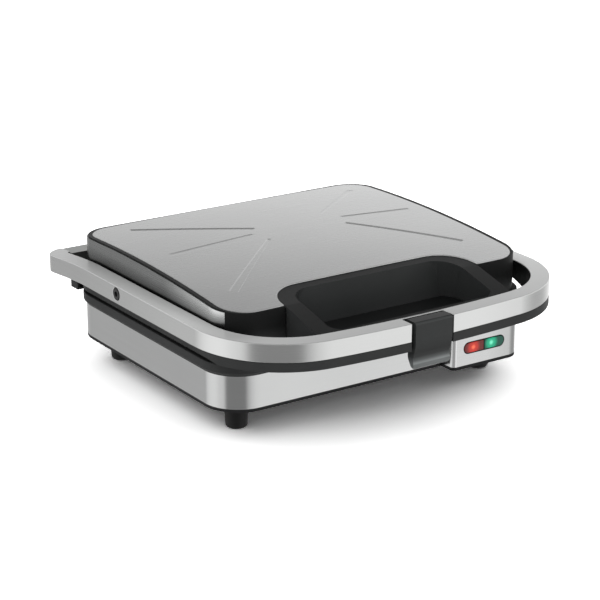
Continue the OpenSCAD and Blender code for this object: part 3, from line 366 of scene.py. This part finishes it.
glow = {"redIn": 0.0095, "greenIn": 0.0135, "greenUp": 0.0003, "reach": 0.0074}  # of the lamps
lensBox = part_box("lens_frame")
lensZ = (lensBox[0].z + lensBox[1].z) / 2
lensFace = lensBox[0].y
redSpot = (lensBox[0].x + glow["redIn"], lensFace, lensZ)
greenSpot = (lensBox[1].x - glow["greenIn"], lensFace, lensZ + glow["greenUp"])
redGlow = makeLens("redGlow", (0.10, 0.012, 0.010), (0.42, 0.025, 0.016), (0.80, 0.14, 0.07),
                   redSpot, glow["reach"], 0.7)
greenGlow = makeLens("greenGlow", (0.004, 0.055, 0.036), (0.008, 0.32, 0.17), (0.18, 0.75, 0.50),
                     greenSpot, glow["reach"], 0.65)
print("materials made")


# mesh helpers

def newPiece(name, bm, body, material, smoothAngle=35):
    bmesh.ops.remove_doubles(bm, verts=bm.verts, dist=merge["piece"])
    bmesh.ops.recalc_face_normals(bm, faces=bm.faces)
    mesh = bpy.data.meshes.new(name)
    bm.to_mesh(mesh)
    bm.free()
    return dress(name, mesh, body, material, smoothAngle)


def dress(name, mesh, body, material, smoothAngle):
    for polygon in mesh.polygons:
        polygon.use_smooth = True
    mesh.set_sharp_from_angle(angle=math.radians(smoothAngle))
    mesh.materials.clear()
    mesh.materials.append(material)
    piece = bpy.data.objects.new(name, mesh)
    bpy.context.scene.collection.objects.link(piece)
    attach(piece, body)
    return piece


def roundEdges(piece, width, segments=2, angle=35):
    bevel = piece.modifiers.new("roundEdges", "BEVEL")
    bevel.width = width * mm
    bevel.segments = segments
    bevel.limit_method = "ANGLE"
    bevel.angle_limit = math.radians(angle)
    bevel.miter_outer = "MITER_ARC"
    bevel.harden_normals = True
    even = piece.modifiers.new("evenShade", "WEIGHTED_NORMAL")
    even.keep_sharp = True
    return piece


# a merged copy of a solid with its edges eased, standing for the node
def easedCopy(node, name, body, material, width, segments=2, angle=35):
    bm = bmesh.new()
    bm.from_mesh(nodes[node].data)
    bmesh.ops.remove_doubles(bm, verts=bm.verts, dist=merge["solid"])
    bmesh.ops.dissolve_limit(bm, angle_limit=math.radians(0.8), verts=bm.verts, edges=bm.edges)
    mesh = bpy.data.meshes.new(name)
    bm.to_mesh(mesh)
    bm.free()
    piece = dress(name, mesh, body, material, angle)
    roundEdges(piece, width, segments, angle)
    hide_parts(node)
    return piece


# a rounded rectangle at one height, as the edges to bridge from
def roundedLoop(bm, width, y0, y1, radius, z, steps=12):
    corners = [bm.verts.new((x * mm, y * mm, z * mm))
               for x, y in [(-width / 2, y0), (width / 2, y0), (width / 2, y1), (-width / 2, y1)]]
    bm.faces.new(corners)
    bmesh.ops.bevel(bm, geom=corners, offset=radius * mm, offset_type="OFFSET",
                    affect="VERTICES", segments=steps, profile=0.5, material=-1)
    outline = max((f for f in bm.faces if all(abs(v.co.z - z * mm) < 1e-7 for v in f.verts)),
                  key=lambda f: f.calc_area())
    edges = list(outline.edges)
    bmesh.ops.delete(bm, geom=[outline], context="FACES_ONLY")
    return edges


def ringThrough(sections, steps=12):  # sections of (width, y0, y1, radius, z), closed on itself
    bm = bmesh.new()
    loops = [roundedLoop(bm, *section, steps) for section in sections]
    for i, loop in enumerate(loops):
        bmesh.ops.bridge_loops(bm, edges=loop + loops[(i + 1) % len(loops)])
    bmesh.ops.translate(bm, verts=bm.verts, vec=(0, centreY, 0))
    return bm


# base

base = {"width": 290, "depth": 240, "radius": 30, "top": 51, "sheet": 1.2}
rim = {"out": 2.5, "chamferTop": 53.9, "top": 60.6, "easing": 0.8, "plateWidth": 263, "plateDepth": 201,
       "plateRadius": 22.5, "ledge": 57.3, "ledgeIn": 5, "tongue": 47, "gap": 0.2, "tongueIn": 2.4,
       "unlevel": 0.1}  # two level loops would bridge across the opening


def baseSection(grow, z):
    return (base["width"] + 2 * grow, -base["depth"] / 2 - grow, base["depth"] / 2 + grow,
            base["radius"] + grow, z)


def plateSection(grow, z):
    return (rim["plateWidth"] + 2 * grow, -rim["plateDepth"] / 2 - grow, rim["plateDepth"] / 2 + grow,
            rim["plateRadius"] + grow, z)


def makeBaseRim():
    ease, out = rim["easing"], rim["out"]
    outer, inner = -base["sheet"] - rim["gap"], -base["sheet"] - rim["tongueIn"]
    bm = ringThrough([
        baseSection(outer, rim["tongue"]), baseSection(outer, base["top"]),
        baseSection(-0.3, base["top"] + 0.05), baseSection(0, base["top"] + 0.35),
        baseSection(out - 0.25, rim["chamferTop"] - 0.3), baseSection(out, rim["chamferTop"] + 0.35),
        baseSection(out, rim["top"] - ease), baseSection(out - 0.24, rim["top"] - 0.24),
        baseSection(out - ease, rim["top"]),
        plateSection(0.5, rim["top"]), plateSection(0.1, rim["top"] - 0.15),
        plateSection(0, rim["top"] - 0.6), plateSection(0, rim["ledge"]),
        plateSection(-rim["ledgeIn"], rim["ledge"] - rim["unlevel"]),
        plateSection(-rim["ledgeIn"], base["top"]), baseSection(inner, base["top"] - rim["unlevel"]),
        baseSection(inner, rim["tongue"])], 14)
    piece = newPiece("baseRim", bm, "base", rimPlastic, 50)
    piece.modifiers.new("evenShade", "WEIGHTED_NORMAL").keep_sharp = True
    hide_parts("base_rim")


makeBaseRim()
easedCopy("base_skirt", "baseSkirt", "base", skirtSteel, 0.35)
easedCopy("bottom_cover", "bottomCover", "base", basePlastic, 0.5)
easedCopy("lamp_panel", "lampPanel", "base", panelSteel, 0.35)
easedCopy("panel_housing", "panelHousing", "base", basePlastic, 0.3)
easedCopy("lens_frame", "lensFrame", "base", basePlastic, 0.15)
easedCopy("red_lens", "redLens", "base", redGlow, 0.5, 3)
easedCopy("green_lens", "greenLens", "base", greenGlow, 0.5, 3)
print("base walls made")

foot = {"height": 22, "tipRadius": 8.75, "topRadius": 10, "edge": 2.3, "hollow": 0.6, "hollowRadius": 5.2,
        "hollowEase": 0.4, "plugRadius": 4, "plugTop": 26.5, "x": 117.5, "y": 90}


def makeFeet():
    bm = bmesh.new()
    tip, edge, hollow = foot["tipRadius"], foot["edge"], foot["hollowRadius"]
    points = [(0, foot["hollow"]), (hollow, foot["hollow"]), (hollow + foot["hollowEase"], 0)]
    for turn in (0, 30, 60, 90):
        points.append((tip - edge * (1 - math.sin(math.radians(turn))),
                       edge * (1 - math.cos(math.radians(turn)))))
    points += [(foot["topRadius"], foot["height"]), (foot["plugRadius"], foot["height"]),
               (foot["plugRadius"], foot["plugTop"]), (0, foot["plugTop"])]
    verts = [bm.verts.new((x * mm, 0, z * mm)) for x, z in points]
    edges = [bm.edges.new(pair) for pair in zip(verts, verts[1:])]
    bmesh.ops.spin(bm, geom=verts + edges, cent=(0, 0, 0), axis=(0, 0, 1), angle=2 * math.pi, steps=40,
                   use_merge=True, dvec=(0, 0, 0))
    bmesh.ops.remove_doubles(bm, verts=bm.verts, dist=merge["piece"])
    bmesh.ops.translate(bm, verts=bm.verts, vec=(foot["x"] * mm, foot["y"] * mm, 0))
    for axis in [(1, 0, 0), (0, 1, 0)]:
        copied = bmesh.ops.duplicate(bm, geom=bm.verts[:] + bm.edges[:] + bm.faces[:])
        moved = [g for g in copied["geom"] if isinstance(g, bmesh.types.BMVert)]
        flip = Matrix.Scale(-1, 4, Vector(axis))
        bmesh.ops.transform(bm, matrix=flip, verts=moved)
        bmesh.ops.reverse_faces(bm, faces=[g for g in copied["geom"] if isinstance(g, bmesh.types.BMFace)])
    bmesh.ops.translate(bm, verts=bm.verts, vec=(0, centreY, 0))
    piece = newPiece("feet", bm, "base", footRubber, 40)
    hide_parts("feet")


makeFeet()
for node, name, slotName, material, width in [
        ("hinge_housing", "hingeHousing", "rim_plastic", rimPlastic, 0.4),
        ("catch_arm", "catchArm", "rim_plastic", rimPlastic, 0.6),
        ("cord_bush", "cordBush", "foot_rubber", footRubber, 0.6),
        ("lower_plate", "lowerPlate", "plate_coating", plateCoating, 0.9),
        ("lower_reflector", "lowerReflector", "reflector_aluminium", trayMetal, 0.3),
        ("lamp_holder", "lampHolder", "insulator", ceramic, 0.4),
        ("terminal_block", "terminalBlock", "insulator", ceramic, 0.4),
        ("base_screws", "baseScrews", "screw_steel", screwSteel, 0.2),
        ("housing_screws", "housingScrews", "screw_steel", screwSteel, 0.2),
        ("catch_screws", "catchScrews", "screw_steel", screwSteel, 0.2),
        ("hinge_pins", "hingePins", "screw_steel", screwSteel, 0.25)]:
    easedCopy(node, name, "base", material, width)
print("base fittings made")

# lid

lid = {"crownY": 37.7, "crownZ": 108.9, "arch": 1407, "rise": 0.7, "halfWidth": 137.25, "front": -117.6,
       "rear": 114.75, "rearRadius": 22.3, "frontRadius": 22.3, "edge": 0.5, "sheet": 1.2, "rayLip": 0.15}
notch = {"half": 91.4, "back": -86.7, "radius": 30, "frontRadius": 2.5}
rays = [  # outer end, inner end, outer width, inner width, width of a wall, depth
    ((-105, 94), (-19, 36), 5.4, 4.4, 1.6, 0.7), ((-112, 14), (-29, 24), 6.4, 3.2, 0.9, 0.4),
    ((-112, -79), (-24, 7), 8.0, 3.4, 0.7, 0.45), ((116, 92), (51, 43), 6.0, 3.2, 0.9, 0.3),
    ((123, 15), (60, 26), 4.6, 3.2, 1.4, 0.5), ((112, -74), (53, 10), 5.2, 4.2, 1.5, 0.7)]


def archHeight(x, y):  # x and y in mm from the middle of the base
    side = x / lid["halfWidth"]
    level = lid["crownZ"] + lid["rise"] * (1 - side * side)
    return level - lid["arch"] + math.sqrt(lid["arch"] ** 2 - (y - lid["crownY"]) ** 2)


def roundCorners(bm, verts, radius, steps):
    bmesh.ops.bevel(bm, geom=verts, offset=radius * mm, offset_type="OFFSET", affect="VERTICES",
                    segments=steps, profile=0.5, material=-1)


def nearVerts(bm, spots):
    return [min(bm.verts, key=lambda v: (v.co - Vector((x * mm, y * mm, 0))).length) for x, y in spots]


panels = {"split": 17, "left": (30, 9.8), "right": (36, 11.5)}  # one ray lies in each panel


def cutAcross(bm, faces, place, normal):
    edges = {e for f in faces for e in f.edges}
    verts = {v for f in faces for v in f.verts}
    before = {f for f in bm.faces if f not in faces}
    bmesh.ops.bisect_plane(bm, geom=list(verts) + list(edges) + list(faces), dist=1e-7,
                           plane_co=place, plane_no=normal)
    return [f for f in bm.faces if f not in before]


def panelHolding(bm, point):
    left = point.x < panels["split"] * mm
    levels = [1e3, *panels["left" if left else "right"], -1e3]
    high = min(y for y in levels if y * mm > point.y)
    low = max(y for y in levels if y * mm < point.y)
    inside = [f for f in bm.faces if (f.calc_center_median().x < panels["split"] * mm) == left
              and low * mm < f.calc_center_median().y < high * mm]
    return [max(inside, key=lambda f: f.calc_area())]


def insideOutline(point, corners):
    turns = [(b - a).cross(point - a).z for a, b in zip(corners, corners[1:] + corners[:1])]
    return all(t > 0 for t in turns) or all(t < 0 for t in turns)


def makeLidTop():
    bm = bmesh.new()
    half, front, rear = lid["halfWidth"], lid["front"], lid["rear"]
    outline = [(-half, rear), (-half, front), (-notch["half"], front), (-notch["half"], notch["back"]),
               (notch["half"], notch["back"]), (notch["half"], front), (half, front), (half, rear)]
    bm.faces.new([bm.verts.new((x * mm, y * mm, 0)) for x, y in outline])
    roundCorners(bm, nearVerts(bm, [(-half, rear), (half, rear)]), lid["rearRadius"], 16)
    roundCorners(bm, nearVerts(bm, [(-half, front), (half, front)]), lid["frontRadius"], 14)
    roundCorners(bm, nearVerts(bm, [(-notch["half"], notch["back"]), (notch["half"], notch["back"])]),
                 notch["radius"], 16)
    roundCorners(bm, nearVerts(bm, [(-notch["half"], front), (notch["half"], front)]),
                 notch["frontRadius"], 4)
    cutAcross(bm, bm.faces[:], (panels["split"] * mm, 0, 0), (1, 0, 0))
    for side, levels in ((-1, panels["left"]), (1, panels["right"])):
        for level in levels:
            half = [f for f in bm.faces if (f.calc_center_median().x - panels["split"] * mm) * side > 0]
            cutAcross(bm, half, (0, level * mm, 0), (0, 1, 0))
    for (x0, y0), (x1, y1), wide, narrow, wall, depth in rays:
        start, end = Vector((x0 * mm, y0 * mm, 0)), Vector((x1 * mm, y1 * mm, 0))
        along = (end - start).normalized()
        across = Vector((-along.y, along.x, 0))
        corners = [start + across * wide * mm / 2, end + across * narrow * mm / 2,
                   end - across * narrow * mm / 2, start - across * wide * mm / 2]
        around = panelHolding(bm, (start + end) / 2)
        for a, b in zip(corners, corners[1:] + corners[:1]):
            side = (b - a).normalized()
            cut = cutAcross(bm, around, a, (-side.y, side.x, 0))
            around = list({f for f in cut if f.is_valid})
        pressed = [f for f in around if insideOutline(f.calc_center_median(), corners)]
        bmesh.ops.inset_region(bm, faces=pressed, thickness=lid["rayLip"] * mm, depth=0,
                               use_even_offset=True)
        bmesh.ops.inset_region(bm, faces=pressed, thickness=wall * mm, depth=-depth * mm,
                               use_even_offset=True)
    for x in range(-120, 121, 24):  # cut into strips, so that the sheet can take its arch
        bmesh.ops.bisect_plane(bm, geom=bm.verts[:] + bm.edges[:] + bm.faces[:], dist=1e-7,
                               plane_co=(x * mm, 0, 0), plane_no=(1, 0, 0))
    for y in range(-108, 118, 12):
        bmesh.ops.bisect_plane(bm, geom=bm.verts[:] + bm.edges[:] + bm.faces[:], dist=1e-7,
                               plane_co=(0, y * mm, 0), plane_no=(0, 1, 0))
    for v in bm.verts:
        v.co.z += archHeight(v.co.x / mm, v.co.y / mm) * mm
        v.co.y += centreY
    if sum(f.normal.z for f in bm.faces) < 0:
        bmesh.ops.reverse_faces(bm, faces=bm.faces)
    shell = bmesh.ops.extrude_face_region(bm, geom=bm.faces[:])
    under = [g for g in shell["geom"] if isinstance(g, bmesh.types.BMVert)]
    bmesh.ops.translate(bm, verts=under, vec=(0, 0, -lid["sheet"] * mm))
    piece = newPiece("lidTop", bm, "lid", lidSteel, 28)
    roundEdges(piece, lid["edge"], 3, 60)
    piece.modifiers["roundEdges"].use_clamp_overlap = False  # small faces by the rays would thin it
    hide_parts("lid_top_plate")


makeLidTop()
easedCopy("lid_frame", "lidFrame", "lid", rimPlastic, 0.7, 3)
easedCopy("lid_side_band", "lidSideBand", "lid", sideSteel, 0.35)
easedCopy("finger_pocket", "fingerPocket", "lid", pocketPlastic, 1.2, 3)
easedCopy("handle_band", "handleBand", "lid", handleSteel, 0.5, 3)
easedCopy("handle_core", "handleCore", "lid", rimPlastic, 0.5)
easedCopy("rear_bar", "rearBar", "lid", barSteel, 2.8, 5)
for node, name, slotName, material, width in [
        ("side_screws", "sideScrews", "black_screw", blackSteel, 0.4),
        ("arm_spacers", "armSpacers", "base_plastic", basePlastic, 0.4),
        ("upper_plate", "upperPlate", "plate_coating", plateCoating, 0.9),
        ("upper_reflector", "upperReflector", "reflector_aluminium", trayMetal, 0.3),
        ("upper_screws", "upperScrews", "screw_steel", screwSteel, 0.2),
        ("rear_bar_screws", "rearBarScrews", "screw_steel", screwSteel, 0.2),
        ("latch_pin", "latchPin", "screw_steel", screwSteel, 0.2)]:
    easedCopy(node, name, "lid", material, width)
print("lid made")

# latch

latch = {"width": 34.6, "face": -182.9, "top": 90.75, "low": 52.25, "pinY": -172.7, "barrel": 4.8,
         "corner": 3, "edge": 0.6, "thick": 4.2, "gap": 0.05, "roundShare": 0.55}


def latchOutline():  # y, z and the radius that rounds the point
    f, top, low, thick = latch["face"], latch["top"], latch["low"], latch["thick"]
    barrelBack = latch["pinY"] + latch["barrel"] - latch["gap"]
    barrelLow = top - 2 * latch["barrel"] + 0.3
    return [(barrelBack, top, 8.4), (f, top, 4.0), (f, 70, 10), (f + 3.9, 61, 7),
            (f + 1.9, 55.6, 5), (f + 3.8, low, 2.2), (f + 6.0, low + 2.5, 1.6), (f + 10.0, 61, 4),
            (f + 9.6, 66.5, 2), (f + thick, 72.5, 3), (f + thick, barrelLow, 1.5),
            (barrelBack, barrelLow, 8.2)]


def makeLatch():
    outline, half, corner = latchOutline(), latch["width"] / 2 * mm, latch["corner"]
    spots = [Vector((-half, y * mm + centreY, z * mm)) for y, z, radius in outline]
    bm = bmesh.new()
    for spot in spots:
        bm.verts.new(spot)
    bm.verts.ensure_lookup_table()
    bm.faces.new(bm.verts[:])
    for spot, (y, z, radius) in zip(spots, outline):
        point = min(bm.verts, key=lambda v: (v.co - spot).length)
        bmesh.ops.bevel(bm, geom=[point], offset=radius * mm * latch["roundShare"], offset_type="OFFSET",
                        affect="VERTICES", segments=6, profile=0.5, material=-1)
    body = bmesh.ops.extrude_face_region(bm, geom=bm.faces[:])
    moved = [g for g in body["geom"] if isinstance(g, bmesh.types.BMVert)]
    bmesh.ops.translate(bm, verts=moved, vec=(latch["width"] * mm, 0, 0))
    for side in (-1, 1):  # lower corners rounded off
        middle = Vector((side * (latch["width"] / 2 - corner) * mm, 0, (latch["low"] + corner) * mm))
        for turn in (22.5, 45, 67.5):
            out = Vector((side * math.cos(math.radians(turn)), 0, -math.sin(math.radians(turn))))
            cut = bmesh.ops.bisect_plane(bm, geom=bm.verts[:] + bm.edges[:] + bm.faces[:],
                                         plane_co=middle + out * corner * mm, plane_no=out,
                                         dist=0.0000001, clear_outer=True)
            edges = [g for g in cut["geom_cut"] if isinstance(g, bmesh.types.BMEdge)]
            bmesh.ops.holes_fill(bm, edges=edges, sides=0)
    piece = newPiece("latchFlap", bm, "latch", latchPlastic, 40)
    roundEdges(piece, latch["edge"], 3, 40)
    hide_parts("latch")


makeLatch()
print("latch made")

# inner parts keep their own solids
for node, material in [("neon_lamps", lampGlass), ("lower_element", elementSteel),
                       ("upper_element", elementSteel), ("thermostat", ceramic),
                       ("thermal_fuse", trayMetal)]:
    nodes[node].data.materials.clear()
    nodes[node].data.materials.append(material)
print("inner parts dressed")


# floor, light and world

def addStage(name, size, z):
    bm = bmesh.new()
    bmesh.ops.create_grid(bm, x_segments=1, y_segments=1, size=size)
    bmesh.ops.translate(bm, verts=bm.verts, vec=(0, 0, z))
    mesh = bpy.data.meshes.new(name)
    bm.to_mesh(mesh)
    bm.free()
    item = bpy.data.objects.new(name, mesh)
    bpy.context.scene.collection.objects.link(item)
    return item


light = {"floorSize": 8.0, "floorDrop": 0.0002, "floorWhite": 0.94, "floorSeen": 1.57, "sky": 2.3,
         "horizon": (-0.12, 0.08)}
turnStart, turnEnd = 180, 540  # one turn of the compass, in degrees
aroundLow = [  # tone that polished metal finds below the horizon, by compass direction
    (180, 0.92), (193, 0.88), (202, 0.29), (257, 0.29), (265, 0.62), (276, 0.85), (290, 1.0),
    (314, 1.08), (330, 0.68), (345, 0.48), (365, 0.52), (380, 0.75), (395, 1.05), (420, 0.9),
    (450, 0.6), (480, 0.54), (486, 0.68), (492, 0.88), (505, 1.05), (525, 1.08), (540, 0.92)]
aroundHigh = [  # the same above it
    (180, 0.8), (236, 0.75), (290, 1.0), (303, 1.0), (342, 1.0), (360, 0.95), (395, 0.86),
    (416, 0.72), (440, 0.62), (465, 1.0), (495, 1.0), (540, 0.8)]
overhead = [(0.0, 1.2), (0.2, 1.05), (0.33, 0.97), (0.45, 0.7), (0.65, 0.34), (1.0, 0.3)]  # by height
softSky = [  # the light that matt surfaces receive, by height
    (0.0, 0.7), (0.1, 0.6), (0.2, 0.32), (0.35, 0.1), (0.45, 0.2), (0.55, 0.55), (0.65, 1.0),
    (0.75, 0.9), (0.82, 0.56), (0.9, 0.4), (1.0, 0.25)]


def seenDirectly(tree):  # camera, glossy and transmission rays
    ray = tree.nodes.new("ShaderNodeLightPath")
    total = ray.outputs["Is Camera Ray"]
    for kind in ["Is Glossy Ray", "Is Transmission Ray"]:
        either = tree.nodes.new("ShaderNodeMath")
        either.operation = "MAXIMUM"
        tree.links.new(total, either.inputs[0])
        tree.links.new(ray.outputs[kind], either.inputs[1])
        total = either.outputs[0]
    return ray, total


def makeFloorMaterial():  # paler to the eye than as a source of bounced light
    material, tree, shader = startMaterial("paleFloor")
    tree.nodes.remove(shader)
    matt = tree.nodes.new("ShaderNodeBsdfDiffuse")
    pale = tree.nodes.new("ShaderNodeMapRange")
    pale.inputs["To Min"].default_value = light["floorWhite"]
    pale.inputs["To Max"].default_value = light["floorSeen"]
    tree.links.new(seenDirectly(tree)[1], pale.inputs["Value"])
    tree.links.new(pale.outputs[0], matt.inputs["Color"])
    tree.links.new(matt.outputs[0], tree.nodes["Material Output"].inputs["Surface"])
    return material


floor = addStage("floor", light["floorSize"], -light["floorDrop"])
floor.data.materials.append(makeFloorMaterial())
floor.visible_glossy = False


def makeWorld():
    world = bpy.data.worlds.new("studio")
    bpy.context.scene.world = world
    world.use_nodes = True
    tree = world.node_tree
    soft = tree.nodes["Background"]
    soft.inputs["Strength"].default_value = light["sky"]
    white = tree.nodes.new("ShaderNodeBackground")
    white.inputs["Color"].default_value = (1, 1, 1, 1)
    white.inputs["Strength"].default_value = 1.0
    where = tree.nodes.new("ShaderNodeTexCoord")
    compass = tree.nodes.new("ShaderNodeTexGradient")
    compass.gradient_type = "RADIAL"
    tree.links.new(where.outputs["Generated"], compass.inputs["Vector"])
    tones = []
    for stops in (aroundLow, aroundHigh):
        ramp = tree.nodes.new("ShaderNodeValToRGB")
        setStops(ramp, stops, turnStart, turnEnd)
        tree.links.new(compass.outputs["Fac"], ramp.inputs[0])
        tones.append(ramp.outputs[0])
    parts = tree.nodes.new("ShaderNodeSeparateXYZ")
    tree.links.new(where.outputs["Generated"], parts.inputs[0])
    height = tree.nodes.new("ShaderNodeValToRGB")
    setStops(height, overhead, 0, 1)
    tree.links.new(parts.outputs["Z"], height.inputs[0])
    softTone = tree.nodes.new("ShaderNodeValToRGB")
    setStops(softTone, softSky, 0, 1)
    tree.links.new(parts.outputs["Z"], softTone.inputs[0])
    tree.links.new(softTone.outputs[0], soft.inputs["Color"])
    high = tree.nodes.new("ShaderNodeMix")
    high.data_type = "RGBA"
    high.blend_type = "MULTIPLY"
    high.inputs["Factor"].default_value = 1.0
    tree.links.new(tones[1], high.inputs["A"])
    tree.links.new(height.outputs[0], high.inputs["B"])
    above = tree.nodes.new("ShaderNodeMapRange")
    above.interpolation_type = "SMOOTHSTEP"
    above.inputs["From Min"].default_value = light["horizon"][0]
    above.inputs["From Max"].default_value = light["horizon"][1]
    tree.links.new(parts.outputs["Z"], above.inputs["Value"])
    blend = tree.nodes.new("ShaderNodeMix")
    blend.data_type = "RGBA"
    tree.links.new(above.outputs[0], blend.inputs["Factor"])
    tree.links.new(tones[0], blend.inputs["A"])
    tree.links.new(high.outputs["Result"], blend.inputs["B"])
    around = tree.nodes.new("ShaderNodeBackground")
    tree.links.new(blend.outputs["Result"], around.inputs["Color"])
    ray, seen = seenDirectly(tree)
    pick = tree.nodes.new("ShaderNodeMixShader")
    tree.links.new(seen, pick.inputs[0])
    tree.links.new(soft.outputs[0], pick.inputs[1])
    tree.links.new(white.outputs[0], pick.inputs[2])
    mirrored = tree.nodes.new("ShaderNodeMixShader")
    tree.links.new(ray.outputs["Is Glossy Ray"], mirrored.inputs[0])
    tree.links.new(pick.outputs[0], mirrored.inputs[1])
    tree.links.new(around.outputs[0], mirrored.inputs[2])
    tree.links.new(mirrored.outputs[0], tree.nodes["World Output"].inputs["Surface"])


makeWorld()
print("stage set")
